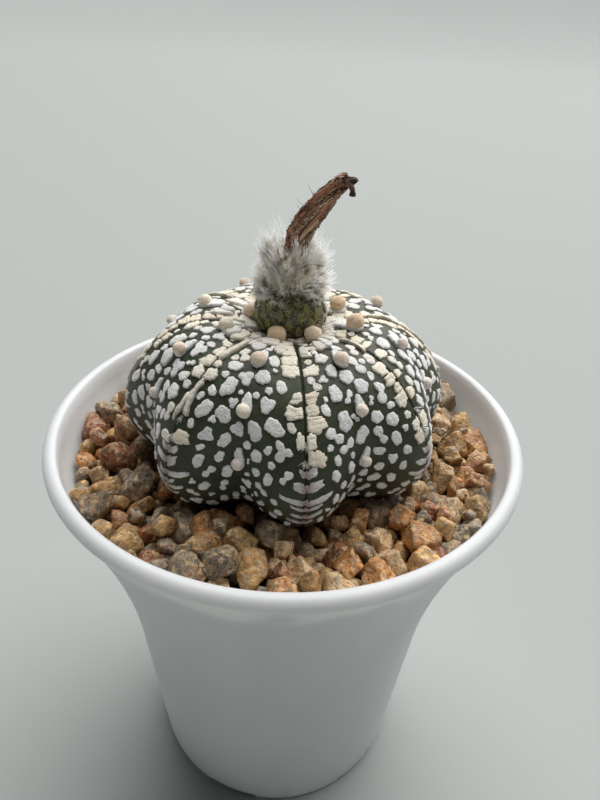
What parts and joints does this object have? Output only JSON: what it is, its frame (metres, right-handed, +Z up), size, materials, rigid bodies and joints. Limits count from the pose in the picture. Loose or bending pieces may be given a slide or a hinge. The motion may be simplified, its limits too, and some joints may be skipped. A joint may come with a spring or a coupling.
{
  "type": "potted star cactus",
  "caption": "Low ribbed star cactus flecked with white felt, with a woolly fruit and withered flower, in a flared white plastic pot topped with granite gravel.",
  "frame": {"origin": "on the ground under the middle of the pot", "axes": "+Z up; -Y is the side that faces the camera in the picture; +X is the camera's right, towards which the withered flower leans"},
  "size_m": [0.0898, 0.0898, 0.1347],
  "materials": {
    "white_plastic": "satin",
    "potting_mix": "matte",
    "granite_gravel": "matte",
    "cactus_skin": "satin",
    "cactus_felt": "matte",
    "fruit_skin": "satin",
    "fruit_wool": "matte",
    "withered_flower": "matte"
  },
  "bodies": {
    "root": {"pot": "white_plastic", "potting_mix": "potting_mix", "gravel": "granite_gravel", "cactus_body": "cactus_skin", "fruit": "fruit_skin", "fruit_wool": "fruit_wool", "dried_flower": "withered_flower"}
  },
  "joints": []
}
